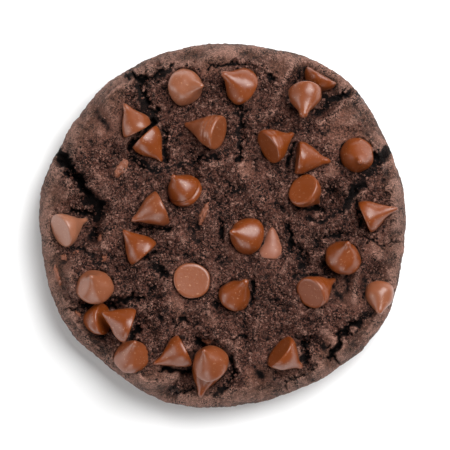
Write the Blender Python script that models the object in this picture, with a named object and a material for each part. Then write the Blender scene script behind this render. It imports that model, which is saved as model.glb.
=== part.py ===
"""A thick double chocolate cookie set with milk chocolate chips, at its real size.

The tables are in millimetres and what is built is in metres. The cookie lies on its flat
underside, with +Z up, +X to the right and +Y towards the far side of the table.
"""

import math
from typing import NamedTuple

import bmesh
import bpy
from mathutils import Matrix, Vector, noise

MM = 0.001

# The dough as a whole, in millimetres
COOKIE_RADIUS = 48.0
COOKIE_HEIGHT = 17.0
WAIST_HEIGHT = 6.0
CROWN_POWER = 3.4

# How far the rim swells and pinches: waves round it, size in mm, turn in degrees
OUTLINE_WAVES = (
    (2, 0.4, 65),
    (3, 0.3, -140),
    (4, 0.4, -140),
    (5, 0.35, -135),
    (7, 0.25, 60),
    (9, 0.25, 100),
)

# The grid of the top runs out to this share of the radius, and rings carry on down the side
TOP_CELLS = 40
TOP_REACH = 0.95
SHOULDER_REACHES = (0.98, 0.995, 1.0)
FOOT_RINGS = ((0.992, 3.4), (0.972, 1.2), (0.94, 0.0))
SIDE_GRAIN = 6.0
SIDE_ROUGHNESS = 0.5

# Lumps of the baked crust: width and height in mm, calmer within this share of the rim
LUMPS = ((11.0, 1.5), (4.6, 1.1))
LUMP_LAYER_STEP = 3.7
CALM_RIM = 0.18
CALM_SHARE = 0.35

# Chips: the shares of the height at which a drop has a ring, and its form
CHIP_SIDES = 12
CHIP_BELLY = 0.07
CHIP_RINGS = (0.07, 0.35, 0.6, 0.8, 0.94)
CHIP_FOOT = 0.95
CHIP_FULLNESS = 0.88
CHIP_BLUNTNESS = 0.12
MERGE_DISTANCE = 1e-4

# Edges sharper than this are shaded as corners, in degrees
DOUGH_CORNER = 60
CHIP_CORNER = 50

# Room between a chip and its socket, and how far the dough leans up to a chip
SOCKET_GAP = 0.36
NEST_REACH = 3.5
NEST_STAND = 2.0
NEST_BED = 1.0
NEST_OPEN = 2.5
OPEN_TURN = 0.3
TIP_BED = 0.6
STEEP_LEAN = 150

# Colours as linear light, and roughness
DOUGH_COLOUR = (0.100, 0.046, 0.034)
DOUGH_ROUGHNESS = 0.9
CHOCOLATE_COLOUR = (0.300, 0.115, 0.052)
CHOCOLATE_ROUGHNESS = 0.42


class Crevice(NamedTuple):
    """A dark crack or pit of the crust: its path, its width and its depth."""

    path: tuple
    width: float
    depth: float


class Mound(NamedTuple):
    """A place where something buried lifts the crust."""

    x: float
    y: float
    reach: float
    height: float


class Chip(NamedTuple):
    """One chocolate drop, by the middle of its flat base.

    The heading is where the tip points, in degrees from +X towards +Y. The lean is 0 for a
    drop that stands on its base, 90 for one that lies and 180 for one on its tip. The lift is
    the height of the base's middle over the smooth crown. Rise and swerve curl the tip. A chip
    that doesn't nest lies on another. The bed is how far over the base's middle the dough comes,
    at the base and at the tip, where it isn't the usual.
    """

    x: float
    y: float
    heading: float
    lean: float
    height: float
    width: float
    lift: float
    rise: float = 0.0
    swerve: float = 0.0
    nests: bool = True
    bed: tuple = ()


CREVICES = (
    Crevice(((-22, 36), (-21, 31), (-18, 28)), 3.6, 3.8),
    Crevice(((-26, 39), (-19, 38), (-14, 41)), 2.6, 2.2),
    Crevice(((-43, 19), (-40, 14), (-37, 11), (-36, 8), (-33, 5), (-33, 3)), 3.8, 3.4),
    Crevice(((-24, 18), (-18, 14), (-10, 16), (-7, 17), (-2, 18)), 2.4, 1.8),
    Crevice(((-19, -10), (-17, -11), (-15, -13)), 3.0, 2.4),
    Crevice(((-37, -6), (-35, -8), (-31, -11)), 2.6, 1.8),
    Crevice(((-30, -19), (-26, -20), (-22, -19)), 2.6, 1.8),
    Crevice(((42, 19), (38, 14), (33, 8), (32, 4)), 3.6, 3.0),
    Crevice(((26, 34), (29, 33), (32, 34)), 2.6, 2.2),
    Crevice(((34, 35), (39, 31), (42, 25), (44, 21)), 2.6, 2.2),
    Crevice(((12, 39), (12, 37)), 2.6, 2.0),
    Crevice(((4, 30), (4, 24), (4, 18)), 2.8, 1.8),
    Crevice(((17, -3), (20, -8), (21, -13)), 4.0, 1.8),
    Crevice(((38, -23), (34, -26), (31, -28), (30, -31), (28, -34)), 2.6, 2.4),
    Crevice(((22, -31), (21, -35)), 2.8, 2.6),
    Crevice(((3, -39), (1, -41), (-2, -44)), 2.4, 1.8),
)

MOUNDS = (
    Mound(-32.2, -6.3, 4.5, 1.6),
    Mound(-42.0, -10.5, 3.5, 0.8),
    Mound(-27.0, 14.8, 3.5, 0.9),
    Mound(-5.3, 2.6, 3.0, 0.7),
    Mound(-3.4, -30.1, 3.5, 0.8),
    Mound(30.0, -33.0, 5.0, 1.0),
)

CHIPS = (
    Chip(-10.9, 36.0, 3, 39, 8.8, 9.8, -1.2),
    Chip(5.4, 35.7, 146, 52, 9.1, 9.6, -0.6),
    Chip(-22.4, 24.7, 118, 84, 8.1, 8.2, 0.8),
    Chip(-20.8, 23.0, -46, 84, 8.0, 8.3, 0.8, swerve=-1.2),
    Chip(-1.3, 24.0, 165, 116, 10.6, 8.8, 3.0),
    Chip(21.2, 35.0, -94, 53, 8.8, 8.8, 1.5, nests=False),
    Chip(25.6, 39.3, -120, 94, 6.4, 9.4, -1.3),
    Chip(11.5, 20.2, 29, 118, 8.9, 9.0, 2.6),
    Chip(19.0, 17.6, -7, 98, 9.1, 8.7, 1.6),
    Chip(20.4, 9.4, -40, 138, 8.8, 8.7, 3.2),
    Chip(34.6, 18.3, -65, 15, 8.6, 9.1, -2.0),
    Chip(36.6, 1.9, 23, 88, 9.2, 8.7, 0.9, swerve=-1.2),
    Chip(6.8, -3.0, 167, 37, 8.9, 9.5, -1.3),
    Chip(12.1, -8.1, 86, 78, 7.8, 7.4, -2.2, bed=(3.0, 1.5)),
    Chip(30.9, -9.2, 73, 35, 8.8, 9.4, -1.4),
    Chip(22.5, -17.9, 30, 137, 9.0, 8.8, 3.2, rise=2.2),
    Chip(40.6, -16.2, -91, 56, 8.6, 7.4, -3.4, bed=(1.9, 2.4)),
    Chip(-42.6, -1.6, 24, 122, 9.1, 8.8, 2.6),
    Chip(-16.0, 4.7, -156, 84, 9.1, 9.2, 1.0),
    Chip(-9.9, 8.3, 127, 42, 8.8, 9.0, -0.9),
    Chip(-20.8, -7.6, 131, 84, 8.6, 8.4, 0.8),
    Chip(-33.7, -16.5, 108, 26, 7.8, 9.7, -0.4),
    Chip(-31.4, -24.5, 184, 122, 8.4, 8.1, -0.8, bed=(-2.6, -0.3)),
    Chip(-24.4, -26.5, 160, 86, 8.5, 9.2, 1.6, swerve=-1.0, nests=False),
    Chip(-23.9, -35.1, 82, 33, 8.8, 9.5, -1.2),
    Chip(-10.2, -32.5, -153, 86, 9.2, 8.7, 1.0, swerve=-0.4),
    Chip(-3.3, -36.5, 117, 31, 8.8, 9.7, 1.9, nests=False),
    Chip(-4.2, -37.4, -106, 80, 8.0, 8.3, -2.5),
    Chip(14.4, -32.9, -37, 113, 8.3, 9.1, 2.6),
    Chip(2.2, -19.2, 52, 45, 8.8, 8.5, -1.0),
    Chip(-8.4, -14.5, 90, 180, 8.0, 9.5, 1.4),
)


def clear_scene():
    for item in list(bpy.data.objects):
        bpy.data.objects.remove(item, do_unlink=True)


def smooth_share(value):
    """Ease a value from 0 to 1, flat at both ends."""
    value = min(max(value, 0.0), 1.0)
    return value * value * (3.0 - 2.0 * value)


def along_segment(x, y, start, end):
    """Distance from a point to a straight run, and how far along the run it is, 0 to 1."""
    run_x = end[0] - start[0]
    run_y = end[1] - start[1]
    length_squared = run_x * run_x + run_y * run_y
    share = 0.0
    if length_squared > 0.0:
        share = ((x - start[0]) * run_x + (y - start[1]) * run_y) / length_squared
        share = min(max(share, 0.0), 1.0)
    distance = math.hypot(x - start[0] - share * run_x, y - start[1] - share * run_y)
    return distance, share


def outline_radius(turn):
    """Distance from the middle to the widest line of the side, at an angle round the cookie."""
    radius = COOKIE_RADIUS
    for waves, size, phase in OUTLINE_WAVES:
        radius += size * math.cos(waves * turn - math.radians(phase))
    return radius


def rim_share(x, y):
    """How far out towards the rim a place is, 0 in the middle and 1 at the widest line."""
    return math.hypot(x, y) / outline_radius(math.atan2(y, x))


def crown_height(reach):
    """Height of the smooth crown: nearly flat, then round over the shoulder to the waist."""
    rise = (1.0 - min(reach, 1.0) ** CROWN_POWER) ** (1.0 / CROWN_POWER)
    return WAIST_HEIGHT + (COOKIE_HEIGHT - WAIST_HEIGHT) * rise


def lump_height(x, y, reach):
    """Broad lumps of the crust, lower near the rim, where it baked smooth."""
    calm = smooth_share((1.0 - reach) / CALM_RIM)
    strength = CALM_SHARE + (1.0 - CALM_SHARE) * calm
    height = 0.0
    for layer, (width, size) in enumerate(LUMPS):
        height += size * noise.noise(Vector((x / width, y / width, LUMP_LAYER_STEP * layer)))
    return strength * height


def crevice_depth(x, y):
    """Depth of the deepest crack or pit that reaches this place."""
    deepest = 0.0
    for crevice in CREVICES:
        for start, end in zip(crevice.path, crevice.path[1:]):
            distance, _ = along_segment(x, y, start, end)
            depth = crevice.depth * smooth_share(1.0 - distance / crevice.width)
            deepest = max(deepest, depth)
    return deepest


def mound_height(x, y):
    """Height of the swellings over buried pieces."""
    height = 0.0
    for mound in MOUNDS:
        distance = math.hypot(x - mound.x, y - mound.y)
        height += mound.height * smooth_share(1.0 - distance / mound.reach)
    return height


def chip_axis(chip):
    """Direction from the middle of a chip's base to its tip."""
    lean = math.radians(chip.lean)
    heading = math.radians(chip.heading)
    flat = math.sin(lean)
    return Vector((flat * math.cos(heading), flat * math.sin(heading), math.cos(lean)))


def chip_base(chip):
    """Middle of a chip's flat base."""
    level = crown_height(rim_share(chip.x, chip.y)) + chip.lift
    return Vector((chip.x, chip.y, level))


def nest_levels(chip):
    """Heights at which the dough meets a chip, at its base and at its tip."""
    base = chip_base(chip)
    tip = base + chip.height * chip_axis(chip)
    lean = math.radians(chip.lean)
    if chip.bed:
        return base.z + chip.bed[0], base.z + chip.bed[1]
    open_share = min(max(-math.cos(lean) / OPEN_TURN, 0.0), 1.0)
    lowered = NEST_BED + NEST_OPEN * open_share
    at_base = base.z + NEST_STAND * max(math.cos(lean), 0.0) - lowered * math.sin(lean)
    if chip.lean >= STEEP_LEAN:
        at_base = base.z - NEST_BED
        return at_base, at_base
    return at_base, min(at_base, tip.z - TIP_BED)


def nested_height(x, y, height):
    """Bring the crust up or down to where it meets the chips near this place."""
    for chip in CHIPS:
        if not chip.nests:
            continue
        base = chip_base(chip)
        tip = base + chip.height * chip_axis(chip)
        distance, share = along_segment(x, y, base, tip)
        hold = smooth_share(1.0 + (0.5 * chip.width - distance) / NEST_REACH)
        if hold > 0.0:
            at_base, at_tip = nest_levels(chip)
            height += hold * (at_base + share * (at_tip - at_base) - height)
    return height


def surface_height(x, y):
    """Height of the crust, with its lumps, cracks, swellings and nests."""
    reach = rim_share(x, y)
    height = crown_height(reach) + lump_height(x, y, reach) + mound_height(x, y)
    height -= crevice_depth(x, y)
    return nested_height(x, y, height)


def top_point(across, along):
    """Carry a point of a square, -1 to 1 both ways, to the round top of the cookie."""
    x = across * math.sqrt(1.0 - 0.5 * along * along)
    y = along * math.sqrt(1.0 - 0.5 * across * across)
    radius = TOP_REACH * outline_radius(math.atan2(y, x))
    return Vector((x * radius, y * radius, surface_height(x * radius, y * radius)))


def side_rings():
    """Shares of the radius and heights of the rings down the side, top to bottom."""
    shoulder = [(reach, crown_height(reach)) for reach in SHOULDER_REACHES]
    return shoulder + list(FOOT_RINGS)


def add_side_ring(bm, edges, reach, level):
    """Extrude the open edge to the next ring of the side, and give back the new open edge."""
    made = bmesh.ops.extrude_edge_only(bm, edges=edges)["geom"]
    for vert in made:
        if not isinstance(vert, bmesh.types.BMVert):
            continue
        turn = math.atan2(vert.co.y, vert.co.x)
        radius = reach * outline_radius(turn)
        place = Vector((radius * math.cos(turn), radius * math.sin(turn), level))
        if level > 0.0:
            rough = SIDE_ROUGHNESS * noise.noise(place / SIDE_GRAIN)
            place += rough * place.normalized()
        vert.co = place
    return [edge for edge in made if isinstance(edge, bmesh.types.BMEdge) and edge.is_boundary]


def close_shape(bm):
    """Turn the faces outwards and split them into triangles."""
    bmesh.ops.recalc_face_normals(bm, faces=bm.faces[:])
    bmesh.ops.triangulate(bm, faces=bm.faces[:])


def new_object(name, bm, sharp_angle):
    """Make a smooth shaded object from a shape in millimetres."""
    bm.transform(Matrix.Scale(MM, 4))
    mesh = bpy.data.meshes.new(name)
    bm.to_mesh(mesh)
    bm.free()
    mesh.shade_smooth()
    mesh.set_sharp_from_angle(angle=math.radians(sharp_angle))
    made = bpy.data.objects.new(name, mesh)
    bpy.context.scene.collection.objects.link(made)
    return made


def build_dough():
    """The round dough: a crackled top, a rounded side and a flat underside."""
    bm = bmesh.new()
    bmesh.ops.create_grid(bm, x_segments=TOP_CELLS, y_segments=TOP_CELLS, size=1.0)
    for vert in bm.verts:
        vert.co = top_point(vert.co.x, vert.co.y)
    rim = [edge for edge in bm.edges if edge.is_boundary]
    for reach, level in side_rings():
        rim = add_side_ring(bm, rim, reach, level)
    bmesh.ops.contextual_create(bm, geom=rim)
    close_shape(bm)
    return new_object("cookie", bm, DOUGH_CORNER)


def chip_profile(chip, gap):
    """Outline of a drop from the middle of its base to its tip, grown outwards by a gap."""
    half_width = 0.5 * chip.width
    line = [(0.0, 0.0), (CHIP_FOOT * half_width, 0.0)]
    for share in CHIP_RINGS:
        swell = (share - CHIP_BELLY) / (1.0 - CHIP_BELLY)
        taper = (0.5 + 0.5 * math.cos(math.pi * swell)) ** CHIP_FULLNESS
        radius = half_width * (CHIP_BLUNTNESS + (1.0 - CHIP_BLUNTNESS) * taper)
        line.append((radius, share * chip.height))
    line.append((0.0, chip.height))
    grown = [(0.0, -gap)]
    for before, point, after in zip(line, line[1:], line[2:]):
        run = Vector((after[0] - before[0], after[1] - before[1])).normalized()
        grown.append((point[0] + gap * run.y, point[1] - gap * run.x))
    grown.append((0.0, chip.height + 2.0 * gap))
    return grown


def build_drop(name, chip, gap):
    """Turn a drop's profile about its axis, curl the tip, and lay it in its place."""
    bm = bmesh.new()
    profile = [bm.verts.new((radius, 0.0, level)) for radius, level in chip_profile(chip, gap)]
    edges = [bm.edges.new(pair) for pair in zip(profile, profile[1:])]
    bmesh.ops.spin(
        bm,
        geom=profile + edges,
        cent=(0, 0, 0),
        axis=(0, 0, 1),
        angle=math.tau,
        steps=CHIP_SIDES,
        use_merge=True,
    )
    bmesh.ops.remove_doubles(bm, verts=bm.verts[:], dist=MERGE_DISTANCE)
    for vert in bm.verts:
        share = min(max(vert.co.z / chip.height, 0.0), 1.0)
        vert.co.x -= chip.rise * share * share
        vert.co.y += chip.swerve * share * share
    close_shape(bm)
    drop = new_object(name, bm, CHIP_CORNER)
    leaning = Matrix.Rotation(math.radians(chip.lean), 3, "Y")
    facing = Matrix.Rotation(math.radians(chip.heading), 3, "Z")
    drop.location = chip_base(chip) * MM
    drop.rotation_euler = (facing @ leaning).to_euler()
    return drop


def cut_sockets(dough):
    """Cut a close socket in the dough for every chip."""
    sockets = bpy.data.collections.new("sockets")
    bpy.context.scene.collection.children.link(sockets)
    cutters = []
    for number, chip in enumerate(CHIPS, start=1):
        cutter = build_drop(f"socket_{number:02d}", chip, SOCKET_GAP)
        bpy.context.scene.collection.objects.unlink(cutter)
        sockets.objects.link(cutter)
        cutter.hide_render = True
        cutter.display_type = "WIRE"
        cutters.append(cutter)
    cut = dough.modifiers.new("sockets", "BOOLEAN")
    cut.operation = "DIFFERENCE"
    cut.solver = "EXACT"
    cut.operand_type = "COLLECTION"
    cut.collection = sockets
    return cutters


def make_material(name, colour, roughness):
    material = bpy.data.materials.new(name)
    material.use_nodes = True
    shader = material.node_tree.nodes["Principled BSDF"]
    shader.inputs["Base Color"].default_value = (*colour, 1.0)
    shader.inputs["Roughness"].default_value = roughness
    shader.inputs["Metallic"].default_value = 0.0
    material.diffuse_color = (*colour, 1.0)
    return material


def centre_on_origin(dough, others):
    """Hang everything from one empty, so that the middle of the cookie's box is the origin."""
    across = [vert.co.x for vert in dough.data.vertices]
    along = [vert.co.y for vert in dough.data.vertices]
    middle = bpy.data.objects.new("cookie_middle", None)
    bpy.context.scene.collection.objects.link(middle)
    middle.location = (-0.5 * (min(across) + max(across)), -0.5 * (min(along) + max(along)), 0.0)
    for item in [dough, *others]:
        item.parent = middle


def main():
    clear_scene()
    dough = build_dough()
    dough.data.materials.append(make_material("baked cocoa dough", DOUGH_COLOUR, DOUGH_ROUGHNESS))
    chocolate = make_material("milk chocolate", CHOCOLATE_COLOUR, CHOCOLATE_ROUGHNESS)
    chips = [build_drop(f"chip_{number:02d}", chip, 0.0) for number, chip in enumerate(CHIPS, start=1)]
    for chip in chips:
        chip.data.materials.append(chocolate)
    cutters = cut_sockets(dough)
    centre_on_origin(dough, chips + cutters)


main()
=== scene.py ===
"""The looks of a thick double chocolate cookie set with milk chocolate chips.

The dough, its crumbs and its chips are modelled in millimetres round the middle of the cookie and
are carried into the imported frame, in metres, when each piece is finished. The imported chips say
where every chocolate drop sits, how it leans and how large it is.
"""

from __future__ import annotations

import logging
import math
from dataclasses import dataclass, field
from enum import Enum

import bmesh
import bpy
import numpy as np
from mathutils import Matrix, Vector, noise


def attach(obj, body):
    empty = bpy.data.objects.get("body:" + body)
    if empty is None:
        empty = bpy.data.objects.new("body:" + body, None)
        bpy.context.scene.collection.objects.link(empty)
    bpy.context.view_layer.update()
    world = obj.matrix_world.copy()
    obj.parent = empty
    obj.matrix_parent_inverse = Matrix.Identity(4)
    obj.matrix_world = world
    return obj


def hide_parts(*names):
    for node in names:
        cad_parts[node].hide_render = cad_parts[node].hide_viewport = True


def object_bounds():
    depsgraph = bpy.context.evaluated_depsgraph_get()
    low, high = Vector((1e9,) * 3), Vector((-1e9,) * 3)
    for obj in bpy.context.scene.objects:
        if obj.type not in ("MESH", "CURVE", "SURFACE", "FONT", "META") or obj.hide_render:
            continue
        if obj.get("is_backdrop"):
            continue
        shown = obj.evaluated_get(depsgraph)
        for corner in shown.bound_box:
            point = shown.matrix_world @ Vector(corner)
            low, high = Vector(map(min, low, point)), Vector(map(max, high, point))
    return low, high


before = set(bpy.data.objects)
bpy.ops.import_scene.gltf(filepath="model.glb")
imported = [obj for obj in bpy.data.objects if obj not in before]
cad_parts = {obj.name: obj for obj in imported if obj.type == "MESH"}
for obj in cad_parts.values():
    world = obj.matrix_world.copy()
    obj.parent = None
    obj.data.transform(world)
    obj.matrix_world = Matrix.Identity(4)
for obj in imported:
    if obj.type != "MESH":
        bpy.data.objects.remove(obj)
packed_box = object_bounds()

log = logging.getLogger("cookie")

MM = 0.001

Colour = tuple[float, float, float]
# Two numbers that belong together: limits, a least and an extra, or a width and a height.
Pair = tuple[float, float]
Socket = bpy.types.NodeSocket


class Slot(Enum):
    """The record's material slots."""

    DOUGH = "dough"
    CHOCOLATE = "chocolate"


class Layer(Enum):
    """Shifts that keep the random fields of the crust apart."""

    CLODS = 5.0
    CRUMBLY = 9.1
    GRAINS = 15.0
    ACROSS = 21.0
    ALONG = 33.0
    SHRUNK = 41.0


def ease(value: np.ndarray) -> np.ndarray:
    """Ease values from 0 to 1, flat at both ends."""
    share = np.clip(value, 0.0, 1.0)
    return share * share * (3.0 - 2.0 * share)


def along_run(x: np.ndarray, y: np.ndarray, start: Vector, end: Vector) -> tuple[np.ndarray, np.ndarray]:
    """Measure places against a straight run.

    Args:
        x: places across, in millimetres.
        y: places along, in millimetres.
        start: where the run starts.
        end: where it ends.

    Returns:
        The distance of each place from the run, and how far along the run it is, 0 to 1.
    """
    run_x, run_y = end[0] - start[0], end[1] - start[1]
    length_squared = run_x * run_x + run_y * run_y
    share = np.zeros_like(x)
    if length_squared > 0.0:
        share = np.clip(((x - start[0]) * run_x + (y - start[1]) * run_y) / length_squared, 0.0, 1.0)
    return np.hypot(x - start[0] - share * run_x, y - start[1] - share * run_y), share


def grain_field(points: np.ndarray, size: float, layer: float = 0.0) -> np.ndarray:
    """Smooth random values at places.

    Args:
        points: places in millimetres, one row each.
        size: how wide one swell of the field is, in millimetres.
        layer: shifts the field, so that two of one size differ.

    Returns:
        One value for each place, from about -1 to 1.
    """
    shift = Vector((0.0, 0.0, layer))
    return np.array([noise.noise(Vector(point) / size + shift) for point in points])


def clod_field(points: np.ndarray, size: float, layer: float = 0.0) -> np.ndarray:
    """Round lumps that meet in creases, as crumbs of dough do.

    Args:
        points: places in millimetres, one row each.
        size: how wide one lump is, in millimetres.
        layer: shifts the field, so that two of one size differ.

    Returns:
        One value for each place, 0 at the top of a lump and -1 in the deepest creases.
    """
    shift = Vector((0.0, 0.0, layer))
    nearest = np.array([noise.voronoi(Vector(point) / size + shift)[0][0] for point in points])
    return -np.clip(nearest, 0.0, 1.0) ** 2


@dataclass(frozen=True)
class Crevice:
    """A crack or pit of the crust, which the dough's finish darkens with painted shade.

    The path is in millimetres from the middle of the cookie, seen from above.
    """

    path: tuple[Pair, ...]
    width: float
    depth: float


@dataclass(frozen=True)
class Patch:
    """A round place on the crust, and how strongly it acts there."""

    x: float
    y: float
    reach: float
    strength: float


class Wiring:
    """A material's nodes, with short calls that add a node and join it to the others."""

    def __init__(self, name: str) -> None:
        """Start a material with one shader that reads the piece's own coordinates.

        Args:
            name: the material's name.
        """
        self.material = bpy.data.materials.new(name)
        self.material.use_nodes = True
        self.tree = self.material.node_tree
        self.shader = self.tree.nodes["Principled BSDF"]
        self.place = self.tree.nodes.new("ShaderNodeTexCoord").outputs["Object"]

    def fill(self, node: bpy.types.Node, socket: str | int, value: object) -> None:
        """Join an input to another node's output, or set it.

        Args:
            node: the node that has the input.
            socket: the input's name or place.
            value: the output to join it to, or its number or colour.
        """
        if isinstance(value, Socket):
            self.tree.links.new(value, node.inputs[socket])
        else:
            node.inputs[socket].default_value = value

    def noise(self, size: float, detail: float = 3.0, roughness: float = 0.6) -> Socket:
        """Random values that swell over a size in millimetres.

        Args:
            size: width of one swell, in millimetres.
            detail: how many finer layers lie on it.
            roughness: how strong the finer layers are.

        Returns:
            The value's socket, from 0 to 1.
        """
        node = self.tree.nodes.new("ShaderNodeTexNoise")
        self.fill(node, "Vector", self.place)
        self.fill(node, "Scale", 1.0 / (size * MM))
        self.fill(node, "Detail", detail)
        self.fill(node, "Roughness", roughness)
        return node.outputs["Fac"]

    def attribute(self, name: str) -> Socket:
        """Read one number that is stored on the piece's points.

        Args:
            name: the name that it is stored under.

        Returns:
            The number's socket.
        """
        node = self.tree.nodes.new("ShaderNodeAttribute")
        node.attribute_name = name
        return node.outputs["Fac"]

    def span(self, value: Socket, limits: Pair) -> Socket:
        """Stretch the values between two limits to run from 0 to 1.

        Args:
            value: the socket to stretch.
            limits: the value that becomes 0, and the value that becomes 1.

        Returns:
            The stretched value's socket.
        """
        node = self.tree.nodes.new("ShaderNodeMapRange")
        node.interpolation_type = "SMOOTHSTEP"
        self.fill(node, "Value", value)
        self.fill(node, "From Min", limits[0])
        self.fill(node, "From Max", limits[1])
        return node.outputs["Result"]

    def sum(self, operation: str, first: object, second: object) -> Socket:
        """Work out one value from two.

        Args:
            operation: the name of Blender's arithmetic, such as ADD or MULTIPLY.
            first: a socket or a number.
            second: a socket or a number.

        Returns:
            The result's socket.
        """
        node = self.tree.nodes.new("ShaderNodeMath")
        node.operation = operation
        self.fill(node, 0, first)
        self.fill(node, 1, second)
        return node.outputs["Value"]

    def times(self, value: Socket, factor: object) -> Socket:
        """Multiply a value by a number or by another value."""
        return self.sum("MULTIPLY", value, factor)

    def ramp(self, value: Socket, least: float, extra: float) -> Socket:
        """Carry a value of 0 to 1 to run from the least on, by so much extra."""
        return self.sum("ADD", self.times(value, extra), least)

    def blend(self, share: object, first: object, second: object) -> Socket:
        """Blend two colours.

        Args:
            share: how much of the second colour there is, a socket or a number.
            first: a colour, or its socket.
            second: a colour, or its socket.

        Returns:
            The blended colour's socket.
        """
        node = self.tree.nodes.new("ShaderNodeMix")
        node.data_type = "RGBA"
        self.fill(node, "Factor", share)
        for socket, colour in (("A", first), ("B", second)):
            target = next(s for s in node.inputs if s.name == socket and s.type == "RGBA")
            if isinstance(colour, Socket):
                self.tree.links.new(colour, target)
            else:
                target.default_value = (*colour, 1.0)
        return next(s for s in node.outputs if s.type == "RGBA")

    def bump(self, height: Socket, depth: float, below: Socket | None = None) -> Socket:
        """Roughen the shading by a height.

        Args:
            height: the socket that says how high each place is, 0 to 1.
            depth: how many millimetres there are between 0 and 1.
            below: the normal's socket of a coarser bump, where there is one.

        Returns:
            The normal's socket.
        """
        node = self.tree.nodes.new("ShaderNodeBump")
        self.fill(node, "Height", height)
        self.fill(node, "Distance", depth * MM)
        if below is not None:
            self.fill(node, "Normal", below)
        return node.outputs["Normal"]


@dataclass(frozen=True)
class DoughFinish:
    """Baked cocoa dough: dull, grainy and paler on the crust, with painted shade that makes it nearly black
    in the cracks, hollows and pore holes, painted shade on the rim and painted highlight on raised places.

    Sizes and bump depths are in millimetres. Limits say where in a random field, or in a value
    that the dough's points hold, a finish starts and where it is at its full strength. A range
    gives the least of a strength and how much more of it there can be.
    """

    crust: Colour = (0.255, 0.106, 0.071)
    crumb: Colour = (0.168, 0.061, 0.042)
    torn: Colour = (0.040, 0.0125, 0.0085)
    # Near black: the painted shade of cracks, hollows, pore holes and sunken places.
    pit: Colour = (0.003, 0.0012, 0.0010)
    # Pale dusting on the grains, partly painted glints, and the painted highlight of raised places.
    dust_and_highlight: Colour = (0.600, 0.322, 0.245)
    # Painted shade on the rim.
    edge: Colour = (0.092, 0.043, 0.026)
    mottle_size: float = 2.6
    grain_size: float = 0.85
    pore_size: float = 0.46
    mottle_swing: float = 1.3
    crumb_limits: Pair = (0.0, 0.55)
    edge_limits: Pair = (0.62, 0.38)
    edge_range: Pair = (0.5, 0.4)
    torn_limits: Pair = (0.5, 1.0)
    torn_share: float = 0.8
    crumbly_range: Pair = (0.6, 0.5)
    dust_and_glint_amount_limits: Pair = (0.36, 0.60)
    dust_and_glint_amount_range: Pair = (0.25, 0.7)
    dust_and_glint_limits: Pair = (0.54, 0.61)
    most_dust_and_glint: float = 0.9
    raised_limits: Pair = (0.55, 1.1)
    raised_share: float = 0.6
    sunk_limits: Pair = (0.48, 0.0)
    sunk_share: float = 0.9
    porous: float = 1.55
    pore_limits: Pair = (0.53, 0.49)
    most_pit: float = 0.96
    raggedness: float = 2.4
    hollow_limits: Pair = (0.25, 1.0)
    crack_limits: Pair = (0.35, 0.85)
    grain_depth: float = 0.80
    pore_depth: float = 0.70
    roughness: float = 0.66
    shine: float = 0.30
    gloss: float = 0.18

    def make(self) -> bpy.types.Material:
        """Make the material.

        Returns:
            A material that reads the values of the piece's points: crumbly, hollow, crack, height over the
            smoothed crust and rim, with painted shade in hollows, cracks, sunken places and on the rim, and
            painted highlight on raised places.
        """
        wiring = Wiring("baked_cocoa_dough")
        crumbly = wiring.attribute("crumbly")
        relief_shading_and_tone = wiring.attribute("relief_shading_and_tone")
        mottle = wiring.noise(self.mottle_size, detail=4.0)
        grain = wiring.noise(self.grain_size, detail=4.0, roughness=0.85)
        pore = wiring.noise(self.pore_size, detail=2.0, roughness=0.9)
        swing = wiring.times(wiring.sum("SUBTRACT", mottle, 0.5), self.mottle_swing)
        uneven = wiring.sum("ADD", crumbly, swing)
        colour = wiring.blend(wiring.span(uneven, self.crumb_limits), self.crust, self.crumb)
        # Painted shade: the rim is darkened in patches.
        patchy = wiring.ramp(wiring.span(mottle, self.edge_limits), *self.edge_range)
        colour = wiring.blend(wiring.times(wiring.attribute("rim"), patchy), colour, self.edge)
        ripped = wiring.span(uneven, self.torn_limits)
        colour = wiring.blend(wiring.times(ripped, self.torn_share), colour, self.torn)
        strength = wiring.ramp(crumbly, *self.crumbly_range)
        # Pale specks of dusting on the grains, partly painted glints.
        dust_and_glint_amount = wiring.ramp(wiring.span(mottle, self.dust_and_glint_amount_limits), *self.dust_and_glint_amount_range)
        pale = wiring.times(wiring.span(grain, self.dust_and_glint_limits), wiring.times(strength, dust_and_glint_amount))
        colour = wiring.blend(wiring.sum("MINIMUM", pale, self.most_dust_and_glint), colour, self.dust_and_highlight)
        # Painted highlight on raised places and painted shade on sunken ones, from their height over the
        # smoothed crust.
        raised = wiring.times(wiring.span(relief_shading_and_tone, self.raised_limits), self.raised_share)
        colour = wiring.blend(raised, colour, self.dust_and_highlight)
        sunk = wiring.times(wiring.span(relief_shading_and_tone, self.sunk_limits), self.sunk_share)
        colour = wiring.blend(sunk, colour, self.pit)
        # Painted shade in the pore holes.
        loose = wiring.times(strength, wiring.sum("SUBTRACT", self.porous, dust_and_glint_amount))
        pore_shade = wiring.times(wiring.span(pore, self.pore_limits), loose)
        colour = wiring.blend(wiring.sum("MINIMUM", pore_shade, self.most_pit), colour, self.pit)
        # Painted shade: hollows and cracks turn nearly black.
        ragged = wiring.times(wiring.sum("SUBTRACT", grain, 0.5), self.raggedness)
        for name, limits in (("hollow", self.hollow_limits), ("crack", self.crack_limits)):
            reached = wiring.span(wiring.sum("ADD", wiring.attribute(name), ragged), limits)
            colour = wiring.blend(wiring.times(reached, self.most_pit), colour, self.pit)
        wiring.fill(wiring.shader, "Base Color", colour)
        dull = wiring.sum("SUBTRACT", self.roughness, wiring.times(ripped, self.shine))
        closed = wiring.sum("MAXIMUM", wiring.attribute("crack"), wiring.attribute("hollow"))
        wiring.fill(wiring.shader, "Roughness", wiring.sum("MAXIMUM", dull, closed))
        wiring.fill(wiring.shader, "Specular IOR Level", self.gloss)
        coarse = wiring.bump(grain, self.grain_depth)
        wiring.fill(wiring.shader, "Normal", wiring.bump(pore, self.pore_depth, coarse))
        return wiring.material


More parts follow.
